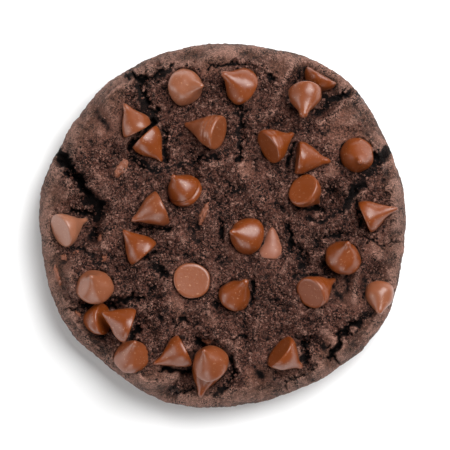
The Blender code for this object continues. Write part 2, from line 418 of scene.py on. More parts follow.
@dataclass(frozen=True)
class ChocolateFinish:
    """Milk chocolate: smooth and waxy, with a soft gloss and a faint paler blooming, which on some drops is
    partly painted sheen.

    Sizes and the bump's depth are in millimetres.
    """

    name: str = "milk_chocolate"
    body: Colour = (0.165, 0.033, 0.0035)
    bloom_and_sheen: Colour = (0.270, 0.105, 0.058)
    speck: Colour = (0.420, 0.220, 0.130)
    cloud_size: float = 3.2
    cloud_limits: Pair = (0.42, 0.72)
    cloud_share: float = 0.1
    speck_size: float = 0.55
    speck_limits: Pair = (0.66, 0.72)
    speck_share: float = 0.5
    film_size: float = 0.7
    film_limits: Pair = (0.3, 0.7)
    film_depth: float = 0.035
    roughness: float = 0.28
    film_roughness: float = 0.12
    gloss: float = 0.6

    def make(self) -> bpy.types.Material:
        """Make the material.

        Returns:
            A material that reads how much paler blooming and painted sheen the piece's points have.
        """
        wiring = Wiring(self.name)
        cloud = wiring.noise(self.cloud_size)
        film = wiring.noise(self.film_size, roughness=0.7)
        clouded = wiring.times(wiring.span(cloud, self.cloud_limits), self.cloud_share)
        # Paler blooming, which is partly painted sheen on the drops given most of it.
        share = wiring.sum("ADD", wiring.attribute("bloom_and_sheen_share"), clouded)
        colour = wiring.blend(share, self.body, self.bloom_and_sheen)
        specks = wiring.span(wiring.noise(self.speck_size, detail=1.0), self.speck_limits)
        colour = wiring.blend(wiring.times(specks, self.speck_share), colour, self.speck)
        wiring.fill(wiring.shader, "Base Color", colour)
        filmed = wiring.times(wiring.span(film, self.film_limits), self.film_roughness)
        wiring.fill(wiring.shader, "Roughness", wiring.sum("ADD", filmed, self.roughness))
        wiring.fill(wiring.shader, "Specular IOR Level", self.gloss)
        wiring.fill(wiring.shader, "Normal", wiring.bump(film, self.film_depth))
        return wiring.material


SMEARED = ChocolateFinish(
    name="smeared_chocolate",
    body=(0.145, 0.040, 0.014),
    bloom_and_sheen=(0.260, 0.095, 0.058),
    roughness=0.42,
    gloss=0.4,
)


def finish_piece(
    name: str, bm: bmesh.types.BMesh, material: bpy.types.Material
) -> bpy.types.Object:
    """Make a smooth piece, in metres at the origin, that rides on the cookie.

    Args:
        name: the piece's name.
        bm: its shape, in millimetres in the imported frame.
        material: its finish.

    Returns:
        The new object.
    """
    bm.transform(Matrix.Scale(MM, 4))
    mesh = bpy.data.meshes.new(name)
    bm.to_mesh(mesh)
    bm.free()
    mesh.shade_smooth()
    mesh.materials.append(material)
    piece = bpy.data.objects.new(name, mesh)
    bpy.context.scene.collection.objects.link(piece)
    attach(piece, "root")
    log.info("%s: %d faces", name, len(mesh.polygons))
    return piece


def store_values(mesh: bpy.types.Mesh, values: dict[str, np.ndarray]) -> None:
    """Store named numbers on a piece's points, for its finish to read.

    Args:
        mesh: the piece's mesh.
        values: one number for each point, under each name.
    """
    for name, numbers in values.items():
        stored = mesh.attributes.new(name, "FLOAT", "POINT")
        stored.data.foreach_set("value", numbers.astype(np.float32))


@dataclass(frozen=True)
class DropForm:
    """The form of a chocolate drop, as shares of its height and half width."""

    foot: float = 0.95
    belly: float = 0.07
    fullness: float = 0.88
    bluntness: float = 0.12
    tip_round: float = 0.10
    drawn_in: float = 0.0
    nub: float = 0.0
    nub_start: float = 0.6
    grooves: tuple[float, ...] = ()
    groove_width: float = 0.035
    groove_depth: float = 0.03

    def radius(self, share: np.ndarray) -> np.ndarray:
        """Half width at a share of the height.

        Args:
            share: 0 at the base and 1 at the tip.

        Returns:
            The half width there, as a share of the widest.
        """
        swell = np.clip((share - self.belly) / (1.0 - self.belly), 0.0, 1.0)
        taper = (0.5 + 0.5 * np.cos(math.pi * swell)) ** self.fullness
        flank = self.bluntness + (1.0 - self.bluntness) * taper
        swollen = self.nub * ease((swell - self.nub_start) / (1.0 - self.nub_start))
        flank = flank - self.drawn_in * np.sin(math.pi * swell) ** 2 + swollen
        for groove in self.grooves:
            flank = flank - self.groove_depth * np.exp(-(((share - groove) / self.groove_width) ** 2))
        corner = np.sqrt(np.clip(1.0 - (1.0 - share / self.belly) ** 2, 0.0, 1.0))
        low = self.foot + (1.0 - self.foot) * corner
        near_tip = np.clip((share - 1.0 + self.tip_round) / self.tip_round, 0.0, 1.0)
        return np.where(share < self.belly, low, flank) * np.sqrt(1.0 - near_tip**2)


FORM = DropForm()
HABITS = {
    "chip_02": DropForm(drawn_in=0.07, nub=0.03),
    "chip_05": DropForm(grooves=(0.16, 0.27), nub=0.02),
    "chip_06": DropForm(nub=0.12),
    "chip_08": DropForm(drawn_in=0.05, grooves=(0.2,)),
    "chip_09": DropForm(drawn_in=0.07, nub=0.03),
    "chip_10": DropForm(grooves=(0.14,)),
    "chip_12": DropForm(drawn_in=0.10, nub=-0.02),
    "chip_14": DropForm(bluntness=0.26, tip_round=0.3, drawn_in=0.04),
    "chip_16": DropForm(grooves=(0.15, 0.3)),
    "chip_17": DropForm(foot=0.80, belly=0.28, fullness=0.8, nub=0.08),
    "chip_18": DropForm(drawn_in=0.09),
    "chip_20": DropForm(grooves=(0.2,), groove_depth=0.06),
    "chip_26": DropForm(drawn_in=0.08),
    "chip_28": DropForm(drawn_in=0.05),
    "chip_29": DropForm(drawn_in=0.06),
    "chip_30": DropForm(nub=0.08),
}
# How much each drop pales with blooming; on the palest drops it is partly painted sheen.
BLOOM_AND_SHEEN = {
    "chip_01": 0.55,
    "chip_03": 0.2,
    "chip_05": 0.2,
    "chip_06": 0.15,
    "chip_14": 0.6,
    "chip_17": 0.45,
    "chip_18": 0.85,
    "chip_19": 0.15,
    "chip_22": 0.45,
    "chip_25": 0.15,
    "chip_27": 0.15,
    "chip_31": 0.3,
}
PLAIN_BLOOM_AND_SHEEN = 0.0
SMEARED_DROPS = ("chip_14",)
STACKED = ("chip_06", "chip_24", "chip_27")
BEDS = {"chip_14": (3.0, 1.5), "chip_17": (1.9, 2.4), "chip_23": (-2.6, -0.3)}


@dataclass
class ChipPose:
    """Where one packed chip sits, in millimetres from the middle of the dough."""

    node: str
    base: Vector
    axis: Vector
    height: float
    half_width: float
    curl: Vector

    @classmethod
    def read(cls, node: str, middle: Vector) -> ChipPose:
        """Read a chip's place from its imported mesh.

        Args:
            node: the chip's node.
            middle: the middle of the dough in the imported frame, in millimetres.

        Returns:
            The pose, from the flat base, which is the largest flat face, and the tip.
        """
        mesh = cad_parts[node].data
        faces: dict[tuple[int, ...], list[bpy.types.MeshPolygon]] = {}
        for face in mesh.polygons:
            key = tuple(round(20 * value) for value in face.normal)
            faces.setdefault(key, []).append(face)
        flat = max(faces.values(), key=lambda group: sum(face.area for face in group))
        area = sum(face.area for face in flat)
        base = sum((face.center * face.area for face in flat), Vector()) / area
        axis = -sum((face.normal * face.area for face in flat), Vector()).normalized()
        points = [vert.co for vert in mesh.vertices]
        foot = max((mesh.vertices[i].co - base).length for face in flat for i in face.vertices)
        tip = max(points, key=lambda point: (point - base).dot(axis))
        height = (tip - base).dot(axis)
        curl = (tip - base) - height * axis
        return cls(node, base / MM - middle, axis, height / MM, foot / MM / FORM.foot, curl / MM)

    @property
    def form(self) -> DropForm:
        """The form of this drop."""
        return HABITS.get(self.node, FORM)

    @property
    def tip(self) -> Vector:
        """Where the tip would be without its curl."""
        return self.base + self.height * self.axis

    def skin_distance(self, points: np.ndarray) -> np.ndarray:
        """Rough distance of places from the chip's surface, negative inside.

        Args:
            points: places in millimetres, one row each.

        Returns:
            One distance for each place.
        """
        offset = points - np.array(self.base)
        level = offset @ np.array(self.axis)
        share = np.clip(level / self.height, 0.0, 1.0)
        offset = offset - np.outer(level, self.axis) - np.outer(share * share, self.curl)
        sideways = np.linalg.norm(offset, axis=1) - self.half_width * self.form.radius(share)
        beyond = np.maximum(level - self.height, -level)
        return np.maximum(sideways, beyond)


@dataclass
class Dough:
    """The round baked dough, with its crackled top, rounded side and flat underside."""

    mean_radius: float = 48.0
    height: float = 17.0
    waist: float = 6.0
    crown_power: float = 3.4
    foot_power: float = 1.8
    foot_share: float = 0.94
    outline_waves: tuple[tuple[int, float, float], ...] = (
        (2, 0.4, 65),
        (3, 0.3, -140),
        (4, 0.4, -140),
        (5, 0.35, -135),
        (7, 0.25, 60),
        (9, 0.25, 100),
    )
    cells: int = 268
    top_reach: float = 0.95
    side_levels: int = 22
    side_grain: float = 6.0
    side_roughness: float = 0.5
    lumps: tuple[Pair, ...] = ((11.0, 1.5), (4.6, 1.9), (6.8, 1.7))
    layer_step: float = 3.7
    calm_rim: float = 0.18
    calm_share: float = 0.35
    nest_reach: float = 3.5
    nest_stand: float = 2.0
    nest_bed: float = 1.0
    nest_open: float = 2.5
    open_turn: float = 0.3
    tip_bed: float = 0.6
    steep: float = math.cos(math.radians(150))
    crevices: tuple[Crevice, ...] = (
        Crevice(((-22, 36), (-21, 31), (-18, 28)), 3.6, 3.8),
        Crevice(((-26, 39), (-19, 38), (-14, 41)), 2.6, 2.2),
        Crevice(((-43, 19), (-40, 14), (-37, 11), (-36, 8), (-33, 5), (-33, 3)), 3.8, 3.4),
        Crevice(((-24, 18), (-18, 14), (-10, 16), (-7, 17), (-2, 18)), 2.4, 1.8),
        Crevice(((-19, -10), (-17, -11), (-15, -13)), 3.0, 2.4),
        Crevice(((-37, -6), (-35, -8), (-31, -11)), 2.6, 1.8),
        Crevice(((-30, -19), (-26, -20), (-22, -19)), 2.6, 1.8),
        Crevice(((42, 19), (38, 14), (33, 8), (32, 4)), 3.6, 3.0),
        Crevice(((26, 34), (29, 33), (32, 34)), 2.6, 2.2),
        Crevice(((34, 35), (39, 31), (42, 25), (44, 21)), 1.9, 1.4),
        Crevice(((12, 39), (12, 37)), 2.6, 2.0),
        Crevice(((4, 30), (4, 24), (4, 18)), 2.8, 1.8),
        Crevice(((17, -3), (20, -8), (21, -13)), 4.0, 1.3),
        Crevice(((38, -23), (34, -26), (31, -28), (30, -31), (28, -34)), 2.6, 2.4),
        Crevice(((22, -31), (21, -35)), 2.8, 2.6),
        Crevice(((3, -39), (1, -41), (-2, -44)), 2.4, 1.8),
    )
    narrowing: float = 0.66
    deepening: float = 1.35
    gaps: tuple[Crevice, ...] = (
        Crevice(((-18.5, 27.0), (-24.6, 20.2)), 1.3, 3.2),
        Crevice(((-15.6, 25.0), (-15.6, 17.0)), 1.4, 2.0),
        Crevice(((-23.3, -0.9), (-14.7, -1.1)), 1.3, 2.2),
        Crevice(((-16.0, -37.7), (-9.2, -38.2)), 1.3, 2.0),
        Crevice(((39.4, 18.3), (40.3, 15.5)), 1.8, 2.4),
        Crevice(((19.4, 4.5), (25.7, 4.2)), 1.3, 1.8),
        Crevice(((16.9, -0.3), (17.3, -6.6)), 1.5, 2.2),
        Crevice(((27.2, -2.9), (33.0, -2.1)), 1.6, 1.8),
        Crevice(((-39.8, 3.4), (-35.1, 2.9)), 1.4, 2.4),
        Crevice(((-22.5, -9.2), (-17.8, -7.1)), 1.3, 2.0),
        Crevice(((-37.2, -20.4), (-34.3, -21.2)), 1.3, 2.0),
        Crevice(((-24.6, -29.6), (-22.0, -26.5)), 1.4, 2.0),
        Crevice(((-7.3, -30.4), (-2.1, -30.1)), 1.4, 2.4),
        Crevice(((1.9, -34.8), (2.6, -38.5)), 1.3, 2.2),
        Crevice(((20.7, -30.7), (21.5, -35.9)), 1.6, 2.2),
        Crevice(((7.6, -15.5), (7.3, -20.2)), 1.2, 1.8),
        Crevice(((-0.8, 0.8), (-0.4, -3.9)), 1.3, 1.8),
        Crevice(((18.4, 21.8), (16.6, 15.7)), 1.1, 2.0),
        Crevice(((34.4, 6.0), (35.6, -0.3)), 1.2, 1.8),
        Crevice(((24.0, -13.0), (18.0, -13.4)), 1.3, 1.6),
        Crevice(((-33.0, -21.4), (-29.0, -20.8)), 1.2, 1.8),
    )
    hair_cracks: tuple[Crevice, ...] = (
        Crevice(((-1, 14), (1, 10), (1, 5), (-1, 0)), 0.9, 0.6),
        Crevice(((34, -3), (40, -4), (42, -6)), 1.0, 0.8),
        Crevice(((24, -37), (18, -41), (16, -42)), 0.9, 0.9),
        Crevice(((-13, -44), (-8, -43)), 0.9, 0.9),
        Crevice(((-43, -22), (-40, -22), (-37, -23)), 0.9, 0.9),
        Crevice(((2, -30), (6, -29)), 1.0, 0.9),
        Crevice(((-13, -25), (-10, -25)), 1.1, 1.0),
        Crevice(((-4, 41), (1, 42), (6, 42), (8, 42)), 1.0, 1.0),
        Crevice(((4, 30.5), (6, 30)), 1.2, 1.2),
        Crevice(((43, 8), (41, 10)), 0.8, 0.7),
        Crevice(((43, -5), (46, -4)), 0.8, 0.7),
    )
    mounds: tuple[Patch, ...] = (
        Patch(-32.2, -6.3, 4.5, 1.6),
        Patch(-42.0, -10.5, 3.5, 0.8),
        Patch(-27.0, 14.8, 3.5, 0.9),
        Patch(-5.3, 2.6, 3.0, 0.7),
        Patch(-3.4, -30.1, 3.5, 0.8),
        Patch(30.0, -33.0, 5.0, 1.0),
    )
    baked: tuple[Patch, ...] = (
        Patch(-33.0, 28.0, 11.0, 0.8),
        Patch(-3.0, 44.0, 9.0, 0.7),
        Patch(14.0, 39.0, 5.0, 0.6),
        Patch(31.0, 25.0, 8.0, 0.7),
        Patch(28.0, 14.5, 4.0, 0.6),
        Patch(5.0, 14.0, 4.5, 0.5),
        Patch(-44.0, 8.0, 4.5, 0.6),
        Patch(-43.0, -12.0, 6.0, 0.7),
        Patch(-13.0, -21.0, 6.0, 0.4),
        Patch(-3.0, -26.0, 4.5, 0.4),
        Patch(33.0, -18.0, 8.0, 0.7),
        Patch(28.0, -34.0, 8.0, 0.6),
        Patch(8.0, -41.0, 8.0, 0.8),
        Patch(-16.0, -39.5, 6.0, 0.9),
        Patch(41.0, -6.0, 6.0, 0.5),
    )
    torn: tuple[Patch, ...] = (
        Patch(-16.0, 24.0, 3.5, 0.7),
        Patch(-21.0, 34.0, 5.0, 0.8),
        Patch(-40.0, 14.0, 5.5, 0.9),
        Patch(-33.0, 5.0, 5.0, 0.6),
        Patch(-20.0, 16.5, 5.0, 0.6),
        Patch(-9.0, 16.0, 6.0, 0.6),
        Patch(-13.3, 5.0, 3.5, 0.8),
        Patch(-37.0, 2.5, 4.5, 0.6),
        Patch(-18.0, -1.0, 5.0, 0.6),
        Patch(-16.0, -9.0, 5.0, 0.7),
        Patch(-23.5, -13.0, 4.0, 0.6),
        Patch(-17.0, -23.0, 5.5, 0.6),
        Patch(-17.0, -32.0, 3.5, 0.6),
        Patch(-5.0, -30.0, 5.0, 0.8),
        Patch(3.0, -40.0, 4.5, 0.8),
        Patch(-13.0, -43.0, 3.5, 0.5),
        Patch(22.0, -31.0, 4.5, 0.9),
        Patch(13.0, -20.0, 7.0, 0.5),
        Patch(20.0, -5.0, 8.5, 0.7),
        Patch(33.0, -1.0, 5.0, 0.7),
        Patch(29.5, 9.0, 5.5, 0.7),
        Patch(40.0, 16.0, 4.0, 0.9),
        Patch(18.0, 15.0, 4.0, 0.7),
        Patch(12.0, 37.0, 4.0, 0.6),
        Patch(-2.0, 37.0, 4.0, 0.6),
        Patch(5.0, 25.0, 5.5, 0.4),
        Patch(36.0, 33.0, 4.5, 0.7),
        Patch(21.0, 28.5, 4.0, 0.5),
        Patch(35.0, -17.0, 4.0, 0.6),
        Patch(3.0, 3.0, 8.0, 0.3),
    )
    torn_depth: float = 0.7
    most_torn: float = 0.9
    most_baked: float = 0.8
    crumbly_mean: float = 0.48
    crumbly_swing: float = 0.3
    crumbly_size: float = 5.0
    crumbly_rim: Pair = (0.78, 0.22)
    rim_loss: float = 0.2
    least_crumbly: float = 0.05
    clods: tuple[Pair, ...] = ((3.6, 1.6), (1.5, 0.85))
    clod_lift: float = 0.25
    grains: tuple[Pair, ...] = ((1.5, 0.34), (0.8, 0.30))
    ragged: tuple[Pair, ...] = ((2.3, 1.5), (0.9, 1.0))
    gap_wander: float = 0.6
    shrunk_depth: float = 0.9
    shrunk_reach: float = 0.8
    shrunk_size: float = 2.2
    side_follow: float = 0.82
    side_clods: Pair = (2.6, 0.55)
    side_grains: Pair = (0.9, 0.22)
    # The crack depth at which the painted shade in it is full.
    black_depth: float = 2.6
    # Where the rim's painted shade starts, and over what width.
    shaded_rim: Pair = (0.82, 0.13)
    bottom_edge: float = 0.5
    hollow_scales: tuple[tuple[int, float], ...] = ((4, 0.14), (45, 0.5))
    middle: Vector = field(default_factory=Vector)

    def outline(self, turn: np.ndarray) -> np.ndarray:
        """Distance from the middle to the waist, at angles round the cookie, in millimetres."""
        waves = self.outline_waves
        return self.mean_radius + sum(
            size * np.cos(count * turn - math.radians(phase)) for count, size, phase in waves
        )

    def crown(self, reach: np.ndarray) -> np.ndarray:
        """Height of the smooth crown at shares of the way out to the waist."""
        rise = (1.0 - np.clip(reach, 0.0, 1.0) ** self.crown_power) ** (1.0 / self.crown_power)
        return self.waist + (self.height - self.waist) * rise

    def side_reach(self, level: float) -> float:
        """How far out the side stands at a height.

        Args:
            level: the height, in millimetres.

        Returns:
            The reach there, as a share of the waist's radius.
        """
        if level >= self.waist:
            rise = (level - self.waist) / (self.height - self.waist)
            return (1.0 - rise**self.crown_power) ** (1.0 / self.crown_power)
        drop = 1.0 - level / self.waist
        bulge = (1.0 - drop**self.foot_power) ** (1.0 / self.foot_power)
        return self.foot_share + (1.0 - self.foot_share) * bulge

    def side_rough(self, place: Vector) -> float:
        """How far the side's broad unevenness pushes a place out, in millimetres."""
        return self.side_roughness * noise.noise(place / self.side_grain)

    def find_middle(self) -> None:
        """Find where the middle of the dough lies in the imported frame, from the box of its waist."""
        turns = np.linspace(0.0, math.tau, 720, endpoint=False)
        radii = self.outline(turns)
        ring = [Vector((r * math.cos(t), r * math.sin(t), self.waist)) for t, r in zip(turns, radii)]
        ring = np.array([place + self.side_rough(place) * place.normalized() for place in ring])
        middle = 0.5 * (ring.min(axis=0) + ring.max(axis=0))
        self.middle = Vector((-middle[0], -middle[1], 0.0))

    def nest_levels(self, chip: ChipPose) -> Pair:
        """Heights at which the dough meets a chip.

        Args:
            chip: the chip's pose.

        Returns:
            The height at its base, and the height at its tip.
        """
        if chip.node in BEDS:
            over_base, over_tip = BEDS[chip.node]
            return chip.base.z + over_base, chip.base.z + over_tip
        lean = math.acos(max(-1.0, min(1.0, chip.axis.z)))
        lowered = self.nest_bed + self.nest_open * min(max(-chip.axis.z / self.open_turn, 0.0), 1.0)
        at_base = chip.base.z + self.nest_stand * max(chip.axis.z, 0.0) - lowered * math.sin(lean)
        if chip.axis.z <= self.steep:
            return chip.base.z - self.nest_bed, chip.base.z - self.nest_bed
        return at_base, min(at_base, chip.tip.z - self.tip_bed)

    def nested(self, x: np.ndarray, y: np.ndarray, height: np.ndarray, chips: list[ChipPose]) -> np.ndarray:
        """Bring the crust up or down to where it meets the chips.

        Args:
            x: places across, in millimetres.
            y: places along, in millimetres.
            height: the crust's height without the chips.
            chips: the chips that bed in the dough.

        Returns:
            The crust's height with the chips.
        """
        for chip in chips:
            distance, share = along_run(x, y, chip.base, chip.tip)
            hold = ease(1.0 + (chip.half_width - distance) / self.nest_reach)
            at_base, at_tip = self.nest_levels(chip)
            height = height + hold * (at_base + share * (at_tip - at_base) - height)
        return height

    def cut_depth(
        self, x: np.ndarray, y: np.ndarray, crevices: tuple[Crevice, ...], narrowing: float = 1.0
    ) -> np.ndarray:
        """Depth of the deepest crack that reaches each place.

        Args:
            x: places across, in millimetres.
            y: places along, in millimetres.
            crevices: the cracks.
            narrowing: what their widths are multiplied by.

        Returns:
            One depth for each place, in millimetres.
        """
        deepest = np.zeros_like(x)
        for crevice in crevices:
            for start, end in zip(crevice.path, crevice.path[1:]):
                distance, _ = along_run(x, y, Vector(start), Vector(end))
                depth = crevice.depth * ease(1.0 - distance / (narrowing * crevice.width))
                deepest = np.maximum(deepest, depth)
        return deepest

    def wander(self, flat: np.ndarray) -> tuple[np.ndarray, np.ndarray]:
        """Shift places unevenly, so that cracks run ragged.

        Args:
            flat: places in millimetres, one row each.

        Returns:
            The shifted places across and along.
        """
        x, y = flat[:, 0].copy(), flat[:, 1].copy()
        for layer, (width, size) in enumerate(self.ragged):
            x += size * grain_field(flat, width, Layer.ACROSS.value + layer)
            y += size * grain_field(flat, width, Layer.ALONG.value + layer)
        return x, y

    def patch_sum(self, x: np.ndarray, y: np.ndarray, patches: tuple[Patch, ...]) -> np.ndarray:
        """Add up round patches at each place.

        Args:
            x: places across, in millimetres.
            y: places along, in millimetres.
            patches: the patches.

        Returns:
            The sum of the patches' strengths at each place.
        """
        total = np.zeros_like(x)
        for patch in patches:
            total += patch.strength * ease(1.0 - np.hypot(x - patch.x, y - patch.y) / patch.reach)
        return total

    def crumbliness(self, x: np.ndarray, y: np.ndarray) -> np.ndarray:
        """How crumbly the crust is.

        Args:
            x: places across, in millimetres.
            y: places along, in millimetres.

        Returns:
            One value for each place, from nearly 0, smooth, to 1.
        """
        flat = np.column_stack((x, y, np.zeros_like(x)))
        swing = self.crumbly_swing * grain_field(flat, self.crumbly_size, Layer.CRUMBLY.value)
        spread = self.crumbly_mean + swing - self.rim_loss * self.rim_band(x, y, self.crumbly_rim)
        spread += np.minimum(self.patch_sum(x, y, self.torn), self.most_torn)
        spread -= np.minimum(self.patch_sum(x, y, self.baked), self.most_baked)
        return np.clip(spread, self.least_crumbly, 1.0)

    def rim_band(self, x: np.ndarray, y: np.ndarray, band: Pair) -> np.ndarray:
        """Rise from 0 to 1 over a band, which has its start and width as shares of the way out."""
        return ease((np.hypot(x, y) / self.outline(np.arctan2(y, x)) - band[0]) / band[1])

    def top_heights(self, x: np.ndarray, y: np.ndarray, chips: list[ChipPose]) -> np.ndarray:
        """Height of the crust, from its broad form down to its crumbs.

        Args:
            x: places across, in millimetres.
            y: places along, in millimetres.
            chips: the poses of the chips.

        Returns:
            One height for each place, in millimetres.
        """
        flat = np.column_stack((x, y, np.zeros_like(x)))
        reach = np.hypot(x, y) / self.outline(np.arctan2(y, x))
        calm = self.calm_share + (1.0 - self.calm_share) * ease((1.0 - reach) / self.calm_rim)
        height = self.crown(reach) + self.patch_sum(x, y, self.mounds)
        height -= self.torn_depth * np.minimum(self.patch_sum(x, y, self.torn), 1.0)
        for layer, (width, size) in enumerate(self.lumps):
            height += calm * size * grain_field(flat, width, layer * self.layer_step)
        cracks, gaps = self.cracks(flat)
        height -= cracks
        height = self.nested(x, y, height, [chip for chip in chips if self.bedded(chip)])
        return height - gaps + self.crumb_relief(flat)

    def cracks(self, flat: np.ndarray) -> tuple[np.ndarray, np.ndarray]:
        """Depths of the cracks that chips cover, and of the hair cracks and gaps that run up to them.

        Args:
            flat: places in millimetres, one row each.

        Returns:
            Both depths at each place, in millimetres.
        """
        x, y = self.wander(flat)
        covered = self.deepening * self.cut_depth(x, y, self.crevices, self.narrowing)
        near = flat[:, :2] + self.gap_wander * (np.column_stack((x, y)) - flat[:, :2])
        gaps = self.cut_depth(near[:, 0], near[:, 1], self.gaps)
        return covered, np.maximum(gaps, self.cut_depth(x, y, self.hair_cracks))

    def crumb_relief(self, flat: np.ndarray) -> np.ndarray:
        """Height of clods and grains over the broad form of the crust.

        Args:
            flat: places in millimetres, one row each.

        Returns:
            One height for each place, in millimetres.
        """
        crumbly = self.crumbliness(flat[:, 0], flat[:, 1])
        relief = np.zeros(len(flat))
        for layer, (width, size) in enumerate(self.clods):
            clods = self.clod_lift + clod_field(flat, width, Layer.CLODS.value + layer)
            relief += size * clods * crumbly
        for layer, (width, size) in enumerate(self.grains):
            grains = grain_field(flat, width, Layer.GRAINS.value + layer)
            relief += size * grains * (0.5 + 0.5 * crumbly)
        return relief

    def bedded(self, chip: ChipPose) -> bool:
        """Tell whether a chip beds in the dough; the others lie on another chip."""
        return chip.node not in STACKED

    def round_out(self, square: np.ndarray) -> np.ndarray:
        """Carry places of a square to the round top.

        Args:
            square: places from -1 to 1 both ways, one row each.

        Returns:
            Their places on the top seen from above, in millimetres.
        """
        x = square[:, 0] * np.sqrt(1.0 - 0.5 * square[:, 1] ** 2)
        y = square[:, 1] * np.sqrt(1.0 - 0.5 * square[:, 0] ** 2)
        radius = self.top_reach * self.outline(np.arctan2(y, x))
        return np.column_stack((x * radius, y * radius))

    def add_ring(
        self, bm: bmesh.types.BMesh, rim: list[bmesh.types.BMEdge], above: float, level: float
    ) -> list[bmesh.types.BMEdge]:
        """Extrude the open edge to the next ring of the side.

        Args:
            bm: the dough's shape.
            rim: the open edge.
            above: the nominal height of the ring above.
            level: the nominal height of the new ring.

        Returns:
            The new open edge.
        """
        made = bmesh.ops.extrude_edge_only(bm, edges=rim)["geom"]
        depth = 1.0 - level / self.height
        for vert in made:
            if not isinstance(vert, bmesh.types.BMVert):
                continue
            turn = math.atan2(vert.co.y, vert.co.x)
            radius = self.side_reach(level) * float(self.outline(turn))
            height = level + self.side_follow * (vert.co.z - above) if level > 0.0 else 0.0
            place = Vector((radius * math.cos(turn), radius * math.sin(turn), max(height, 0.0)))
            if level > 0.0:
                push = self.side_rough(Vector((place.x, place.y, level)))
                width, size = self.side_clods
                push += size * (self.clod_lift - noise.voronoi(place / width)[0][0] ** 2) * depth
                width, size = self.side_grains
                push += size * noise.noise(place / width)
                place += push * Vector((math.cos(turn), math.sin(turn), 0.0))
            vert.co = place
        return [edge for edge in made if isinstance(edge, bmesh.types.BMEdge) and edge.is_boundary]

    def build(self, chips: list[ChipPose], finish: bpy.types.Material) -> bpy.types.Object:
        """Build the dough.

        Args:
            chips: the poses of the chips.
            finish: the dough's material.

        Returns:
            The dough's piece.
        """
        bm = bmesh.new()
        bmesh.ops.create_grid(bm, x_segments=self.cells, y_segments=self.cells, size=1.0)
        top = self.round_out(np.array([vert.co[:2] for vert in bm.verts]))
        heights = self.top_heights(top[:, 0], top[:, 1], chips)
        points = self.dip_round_chips(np.column_stack((top, heights)), chips)
        for vert, place in zip(bm.verts, points):
            vert.co = place
        rim = [edge for edge in bm.edges if edge.is_boundary]
        levels = np.linspace(float(self.crown(np.array(self.top_reach))), 0.0, self.side_levels + 1)
        for above, level in zip(levels, levels[1:]):
            rim = self.add_ring(bm, rim, float(above), max(float(level), 0.0))
        bmesh.ops.contextual_create(bm, geom=rim)
        bmesh.ops.recalc_face_normals(bm, faces=bm.faces[:])
        bm.transform(Matrix.Translation(self.middle))
        piece = finish_piece("baked_dough", bm, finish)
        self.store_attributes(piece.data)
        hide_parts("cookie")
        return piece

    def dip_round_chips(self, points: np.ndarray, chips: list[ChipPose]) -> np.ndarray:
        """Lower the crust just beside each chip, where the dough shrank away from it.

        Args:
            points: places on the crust, in millimetres.
            chips: the poses of the chips.

        Returns:
            The places, lowered beside and under the chips.
        """
        loose = 0.5 + 0.5 * grain_field(points, self.shrunk_size, Layer.SHRUNK.value)
        for chip in chips:
            if chip.node in BEDS:
                continue
            away = np.hypot(points[:, 0] - chip.base.x, points[:, 1] - chip.base.y)
            near = away < chip.height + chip.half_width
            beside = ease(1.0 - np.abs(chip.skin_distance(points[near])) / self.shrunk_reach)
            points[near, 2] -= self.shrunk_depth * loose[near] * beside
        return points

    def store_attributes(self, mesh: bpy.types.Mesh) -> None:
        """Store how crumbly, hollow, cracked, raised and near the rim each point of the dough is; the finish
        paints shade and highlight from all but the first.

        Args:
            mesh: the finished mesh of the dough.
        """
        places = np.zeros(3 * len(mesh.vertices))
        mesh.vertices.foreach_get("co", places)
        places = places.reshape(-1, 3) / MM - np.array(self.middle)
        normals = np.array([vert.normal for vert in mesh.vertices])
        ends = np.zeros(2 * len(mesh.edges), dtype=np.int32)
        mesh.edges.foreach_get("vertices", ends)
        first, second = ends[0::2], ends[1::2]
        count = np.bincount(first, minlength=len(places)) + np.bincount(second, minlength=len(places))
        calm = places.copy()
        hollow = np.zeros(len(places))
        relief_shading_and_tone = np.zeros(len(places))
        for rounds, full_depth in self.hollow_scales:
            for _ in range(rounds):
                total = np.zeros_like(calm)
                for axis in range(3):
                    total[:, axis] = np.bincount(first, calm[second, axis], len(calm))
                    total[:, axis] += np.bincount(second, calm[first, axis], len(calm))
                calm = 0.5 * calm + 0.5 * total / count[:, None]
            below = -np.einsum("ij,ij->i", places - calm, normals)
            hollow = np.maximum(hollow, np.clip(below / full_depth, 0.0, 1.0))
            relief_shading_and_tone = np.clip(0.5 - 0.5 * below / full_depth, 0.0, 1.0)
        hollow[places[:, 2] < self.bottom_edge] = 0.0
        flat = np.column_stack((places[:, 0], places[:, 1], np.zeros(len(places))))
        covered, gaps = self.cracks(flat)
        crack = np.where(places[:, 2] > self.waist, ease(np.maximum(covered, gaps) / self.black_depth), 0.0)
        values = {
            "hollow": hollow,
            "crack": crack,
            "crumbly": self.crumbliness(places[:, 0], places[:, 1]),
            "relief_shading_and_tone": relief_shading_and_tone,
            "rim": self.rim_band(places[:, 0], places[:, 1], self.shaded_rim),
        }
        store_values(mesh, values)


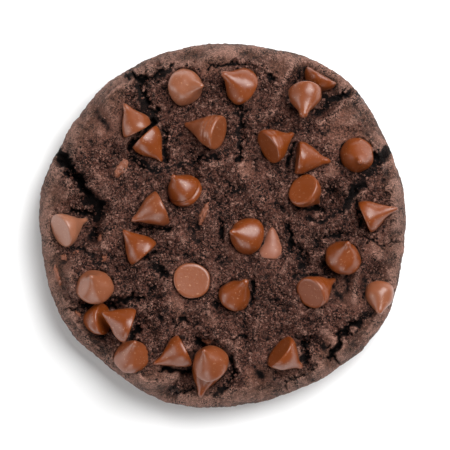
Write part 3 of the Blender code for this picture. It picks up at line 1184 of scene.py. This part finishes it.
@dataclass
class Drop:
    """One chocolate chip: a smooth drop with a flat base, a little uneven."""

    pose: ChipPose
    sides: int = 48
    rings: int = 26
    unevenness: float = 0.30
    swell: float = 2.8
    base_hollow: float = 0.06
    base_rings: tuple[Pair, ...] = ((0.0, 1.0), (0.55, 0.8), (0.85, 0.1))
    ring_lean: float = 1.15
    ring_crowding: float = 0.22
    oval: float = 0.03
    ridge: float = 0.05
    ridge_width: float = 0.45
    ridge_twist: float = 1.2
    ridge_fade: float = 1.1
    first_seed: int = 100
    apart: float = 37.0
    merge_distance: float = 1e-3
    on_axis: float = 1e-6

    def profile(self) -> list[Pair]:
        """Draw the outline of the drop.

        Returns:
            Half widths and heights, from the middle of its base to its tip, in millimetres.
        """
        pose = self.pose
        line = [(out * FORM.foot * pose.half_width, up * self.base_hollow) for out, up in self.base_rings]
        bend = np.linspace(0.0, 1.0, self.rings + 1)
        shares = bend**self.ring_lean * (1.0 - self.ring_crowding * np.sin(math.pi * bend))
        for share in shares[:-1]:
            radius = pose.half_width * float(pose.form.radius(np.array(share)))
            line.append((radius, float(share) * pose.height))
        line.append((0.0, pose.height))
        return line

    def turned(self) -> bmesh.types.BMesh:
        """Turn the outline about its axis.

        Returns:
            A drop that stands on its base at the origin.
        """
        bm = bmesh.new()
        verts = [bm.verts.new((radius, 0.0, level)) for radius, level in self.profile()]
        edges = [bm.edges.new(pair) for pair in zip(verts, verts[1:])]
        bmesh.ops.spin(
            bm,
            geom=verts + edges,
            cent=(0, 0, 0),
            axis=(0, 0, 1),
            angle=math.tau,
            steps=self.sides,
            use_merge=True,
        )
        bmesh.ops.remove_doubles(bm, verts=bm.verts[:], dist=self.merge_distance)
        return bm

    def build(self, middle: Vector, finish: bpy.types.Material, number: int) -> bpy.types.Object:
        """Turn the drop and lay it in its place.

        Args:
            middle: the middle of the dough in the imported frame, in millimetres.
            finish: the chocolate's material.
            number: the drop's number, which makes its unevenness its own.

        Returns:
            The drop's piece.
        """
        pose = self.pose
        draw = np.random.default_rng(self.first_seed + number)
        oval_turn, ridge_turn = draw.uniform(0.0, math.tau, 2)
        bm = self.turned()
        side = pose.axis.orthogonal().normalized()
        turn = Matrix((side, pose.axis.cross(side), pose.axis)).transposed()
        for vert in bm.verts:
            share = max(0.0, min(1.0, vert.co.z / pose.height))
            angle = math.atan2(vert.co.y, vert.co.x)
            across = Vector((vert.co.x, vert.co.y, 0.0))
            own = Vector((vert.co.x, vert.co.y, vert.co.z + self.apart * number))
            push = self.unevenness * noise.noise(own / self.swell) * min(1.0, across.length)
            push += self.oval * math.cos(2.0 * (angle - oval_turn)) * across.length
            off = math.remainder(angle - ridge_turn - self.ridge_twist * share, math.tau) / self.ridge_width
            crest = math.exp(-off * off) * math.sin(math.pi * min(1.0, share * self.ridge_fade)) ** 2
            push += self.ridge * pose.half_width * crest
            if across.length > self.on_axis:
                vert.co += push * across.normalized()
            vert.co = pose.base + turn @ vert.co + share * share * pose.curl + middle
        bmesh.ops.recalc_face_normals(bm, faces=bm.faces[:])
        piece = finish_piece(pose.node.replace("chip", "drop"), bm, finish)
        share = BLOOM_AND_SHEEN.get(pose.node, PLAIN_BLOOM_AND_SHEEN)
        store_values(piece.data, {"bloom_and_sheen_share": np.full(len(piece.data.vertices), share)})
        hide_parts(pose.node)
        return piece


@dataclass
class Crumbs:
    """Broken grains of dough of one size that lie on the crumbly parts of the crust.

    There are two to the power of the doublings. Sizes are in millimetres, from the middle of a
    grain out. A loss is the share of the grains that a full crack or hollow keeps out.
    """

    name: str
    doublings: int
    smallest: float
    largest: float
    seed: int
    sink: float = 0.15
    dent: float = 0.2
    rim_clear: float = 0.85
    chip_clear: float = 0.6
    steepest: float = 0.15
    lowest: float = 9.0
    crack_loss: float = 0.9
    hollow_loss: float = 0.7
    cluster: float = 3.0
    between_clusters: float = 0.15
    cluster_swing: float = 1.6
    crumbly_power: float = 1.4
    stretch: Pair = (0.65, 1.2)
    stray: float = 0.2
    tone_spread: float = 0.3

    def copies(self) -> bmesh.types.BMesh:
        """Double one grain again and again.

        Returns:
            All the grains in one place, each one's points after those of the one before.
        """
        bm = bmesh.new()
        bmesh.ops.create_icosphere(bm, subdivisions=1, radius=1.0)
        for _ in range(self.doublings):
            bmesh.ops.duplicate(bm, geom=bm.verts[:] + bm.edges[:] + bm.faces[:])
        return bm

    def build(self, dough: bpy.types.Object, chips: list[ChipPose], middle: Vector) -> bpy.types.Object:
        """Scatter the grains.

        Args:
            dough: the dough's piece, whose points say where it is crumbly.
            chips: the poses of the chips, which stay clear.
            middle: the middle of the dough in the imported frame, in millimetres.

        Returns:
            The crumbs' piece.
        """
        draw = np.random.default_rng(self.seed)
        mesh = dough.data
        places = np.array([vert.co for vert in mesh.vertices]) / MM
        normals = np.array([vert.normal for vert in mesh.vertices])
        stored = {name: np.zeros(len(places)) for name in ("crumbly", "rim", "crack", "hollow")}
        for name, numbers in stored.items():
            mesh.attributes[name].data.foreach_get("value", numbers)
        free = (normals[:, 2] > self.steepest) & (places[:, 2] > self.lowest)
        free &= stored["rim"] < self.rim_clear
        for chip in chips:
            free &= chip.skin_distance(places - np.array(middle)) > self.chip_clear * self.largest
        open_share = (1.0 - self.crack_loss * stored["crack"]) * (1.0 - self.hollow_loss * stored["hollow"])
        swells = grain_field(places, self.cluster, float(self.seed))
        cluster = self.between_clusters + ease(0.5 + self.cluster_swing * swells)
        weight = np.where(free, stored["crumbly"] ** self.crumbly_power * open_share * cluster, 0.0)
        bm = self.copies()
        unit = len(bm.verts) // 2**self.doublings
        count = 2**self.doublings
        chosen = draw.choice(len(places), count, p=weight / weight.sum())
        size = self.smallest + (self.largest - self.smallest) * draw.random(count) ** 2
        sphere = np.array([vert.co for vert in list(bm.verts)[:unit]])
        form = draw.uniform(*self.stretch, (count, 1, 3)) * size[:, None, None]
        dents = 1.0 + self.dent * draw.normal(size=(count, unit, 1))
        turn = np.linalg.qr(draw.normal(size=(count, 3, 3)))[0]
        grains = np.einsum("nij,nkj->nki", turn, sphere[None] * form * dents)
        jitter = np.column_stack((draw.uniform(-self.stray, self.stray, (count, 2)), np.zeros(count)))
        seat = places[chosen] + jitter + self.sink * size[:, None] * normals[chosen]
        points = (grains + seat[:, None]).reshape(-1, 3)
        for vert, place in zip(bm.verts, points):
            vert.co = place
        bmesh.ops.recalc_face_normals(bm, faces=bm.faces[:])
        piece = finish_piece(self.name, bm, mesh.materials[0])
        piece.data.shade_flat()
        # Each grain is made paler or darker at random, through the same value.
        relief_shading_and_tone = np.repeat(np.clip(draw.normal(0.5, self.tone_spread, count), 0.0, 1.0), unit)
        level = np.full(len(relief_shading_and_tone), 0.5)
        none = np.zeros(len(relief_shading_and_tone))
        values = {"crumbly": level, "relief_shading_and_tone": relief_shading_and_tone, "hollow": none, "crack": none, "rim": none}
        store_values(piece.data, values)
        return piece


@dataclass
class Slivers:
    """Drops that the dough closed over, where a little of them shows through the crust.

    Each is a run from above, start and end, with its half width, in millimetres.
    """

    runs: tuple[tuple[Pair, Pair, float], ...] = (
        ((-4.5, 5.0), (-6.1, 0.8), 0.85),
        ((-26.0, 16.2), (-27.8, 13.6), 1.1),
        ((-32.0, -3.2), (-32.2, -3.8), 0.8),
        ((-31.0, -8.2), (-31.4, -9.0), 0.7),
        ((-4.9, -30.2), (-2.0, -30.0), 0.8),
        ((-41.9, -8.4), (-41.4, -8.8), 0.7),
        ((-38.6, -7.2), (-38.0, -7.4), 0.6),
        ((-38.5, -23.0), (-38.0, -23.4), 0.7),
        ((-44.2, -10.9), (-42.9, -15.3), 0.6),
    )
    thickness: float = 0.85
    sunk: float = 0.3
    dent: float = 0.45
    dents_per_mm: float = 1.1
    nick: float = 0.25
    nicks_per_mm: float = 3.1
    lowest: float = 7.0
    bloom_and_sheen_share: float = 0.3
    layers: tuple[float, ...] = (51.0, 63.0, 75.0)

    def uneven(self, place: Vector) -> Vector:
        """Random push at a place, each way from its own layer of one field."""
        return Vector([noise.noise(place + Vector((0.0, 0.0, layer))) for layer in self.layers])

    def build(self, dough: bpy.types.Object, middle: Vector, finish: bpy.types.Material) -> bpy.types.Object:
        """Lay the slivers in the crust.

        Args:
            dough: the dough's piece, which says how high the crust is.
            middle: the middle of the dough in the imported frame, in millimetres.
            finish: the chocolate's material.

        Returns:
            The slivers' piece.
        """
        places = np.array([vert.co for vert in dough.data.vertices]) / MM
        places = places[places[:, 2] > self.lowest]
        bm = bmesh.new()
        for start, end, half_width in self.runs:
            run = Vector(end) - Vector(start)
            x, y = 0.5 * (Vector(start) + Vector(end)) + middle.xy
            near = np.hypot(places[:, 0] - x, places[:, 1] - y) < half_width
            level = float(np.mean(places[near, 2])) - self.sunk
            size = Matrix.Diagonal((0.5 * run.length + half_width, half_width, self.thickness, 1.0))
            turn = Matrix.Rotation(math.atan2(run.y, run.x), 4, "Z")
            place = Matrix.Translation((x, y, level)) @ turn @ size
            bmesh.ops.create_icosphere(bm, subdivisions=4, radius=1.0, matrix=place)
        for vert in bm.verts:
            vert.co += self.dent * self.uneven(vert.co * self.dents_per_mm)
            vert.co += self.nick * self.uneven(vert.co * self.nicks_per_mm)
        bmesh.ops.recalc_face_normals(bm, faces=bm.faces[:])
        piece = finish_piece("buried_chocolate", bm, finish)
        store_values(piece.data, {"bloom_and_sheen_share": np.full(len(piece.data.vertices), self.bloom_and_sheen_share)})
        return piece


CRUMB_KINDS = (
    Crumbs("coarse_crumbs", doublings=10, smallest=0.34, largest=0.75, seed=7),
    Crumbs("medium_crumbs", doublings=13, smallest=0.22, largest=0.46, seed=8),
    Crumbs("small_crumbs", doublings=13, smallest=0.15, largest=0.30, seed=10),
    Crumbs("fine_crumbs", doublings=13, smallest=0.11, largest=0.19, seed=9),
)


@dataclass
class Studio:
    """A white floor under soft light, seen from straight above."""

    image_pixels: int = 450
    pixel: float = 0.262
    lens: float = 800.0
    sensor: float = 36.0
    aim: Pair = (0.69, 0.08)
    floor_size: float = 1.6
    key_power: float = 21.0
    key_size: float = 0.95
    key_turn: float = 46.0
    key_height: float = 52.0
    cards: dict[str, tuple[float, float, float, float]] = field(
        default_factory=lambda: {"left_card": (190.0, 20.0, 0.8, 5.0), "front_card": (256.0, 22.0, 0.6, 3.2)}
    )
    sky: float = 0.07
    floor_white: float = 0.93

    def add_floor(self) -> None:
        """Lay the white floor."""
        bm = bmesh.new()
        bmesh.ops.create_grid(bm, x_segments=1, y_segments=1, size=0.5 * self.floor_size)
        mesh = bpy.data.meshes.new("floor")
        bm.to_mesh(mesh)
        bm.free()
        wiring = Wiring("white_floor")
        wiring.fill(wiring.shader, "Base Color", (self.floor_white, self.floor_white, self.floor_white, 1.0))
        wiring.fill(wiring.shader, "Roughness", 1.0)
        wiring.fill(wiring.shader, "Specular IOR Level", 0.0)
        mesh.materials.append(wiring.material)
        floor = bpy.data.objects.new("floor", mesh)
        bpy.context.scene.collection.objects.link(floor)
        floor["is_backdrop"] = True

    def add_light(self, name: str, turn: float, height: float, size: float, power: float) -> None:
        """Hang a square soft light that faces the cookie.

        Args:
            name: the light's name.
            turn: where it hangs, in degrees from +X towards +Y.
            height: how high it hangs, in degrees over the floor.
            size: its width, in metres.
            power: its power, in watts.
        """
        light = bpy.data.lights.new(name, "AREA")
        light.size = size
        light.energy = power
        holder = bpy.data.objects.new(name, light)
        round_about, up = math.radians(turn), math.radians(height)
        away = Vector((math.cos(round_about), math.sin(round_about), math.tan(up)))
        holder.location = away.normalized()
        holder.rotation_euler = (-away).to_track_quat("-Z", "Y").to_euler()
        bpy.context.scene.collection.objects.link(holder)

    def add_camera(self, waist: float) -> None:
        """Hang the camera over the cookie, so that the waist has its size in the picture.

        Args:
            waist: the height of the cookie's widest part, in millimetres.
        """
        camera = bpy.data.cameras.new("camera")
        camera.lens = self.lens
        camera.sensor_width = self.sensor
        width = self.image_pixels * self.pixel * MM
        distance = width * self.lens / self.sensor
        holder = bpy.data.objects.new("camera", camera)
        holder.location = (self.aim[0] * MM, self.aim[1] * MM, distance + waist * MM)
        camera.clip_end = 2.0 * distance
        bpy.context.scene.collection.objects.link(holder)
        bpy.context.scene.camera = holder

    def set_sky(self) -> None:
        """Fill the room with an even white light."""
        world = bpy.data.worlds.new("studio")
        world.use_nodes = True
        world.node_tree.nodes["Background"].inputs["Color"].default_value = (1.0, 1.0, 1.0, 1.0)
        world.node_tree.nodes["Background"].inputs["Strength"].default_value = self.sky
        bpy.context.scene.world = world
        bpy.context.scene.view_settings.view_transform = "Standard"

    def build(self, waist: float) -> None:
        """Set up the floor, the lights, the room and the camera.

        Args:
            waist: the height of the cookie's widest part, in millimetres.
        """
        self.add_floor()
        self.add_light("key", self.key_turn, self.key_height, self.key_size, self.key_power)
        for name, (turn, height, size, power) in self.cards.items():
            self.add_light(name, turn, height, size, power)
        self.set_sky()
        self.add_camera(waist)


def main() -> None:
    """Build the cookie and its studio, in order."""
    logging.basicConfig(level=logging.INFO, format="%(name)s %(message)s")
    dough = Dough()
    Studio().build(dough.waist)
    dough.find_middle()
    nodes = sorted(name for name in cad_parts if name.startswith("chip_"))
    chips = [ChipPose.read(name, dough.middle) for name in nodes]
    baked = dough.build(chips, DoughFinish().make())
    chocolate = ChocolateFinish().make()
    smeared = SMEARED.make()
    for number, chip in enumerate(chips, start=1):
        finish = smeared if chip.node in SMEARED_DROPS else chocolate
        Drop(chip).build(dough.middle, finish, number)
    Slivers().build(baked, dough.middle, smeared)
    for kind in CRUMB_KINDS:
        kind.build(baked, chips, dough.middle)
    boxes = {"packed": packed_box, "visual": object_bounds()}
    boxes = {name: [list(corner) for corner in box] for name, box in boxes.items()}


if __name__ == "__main__":
    main()
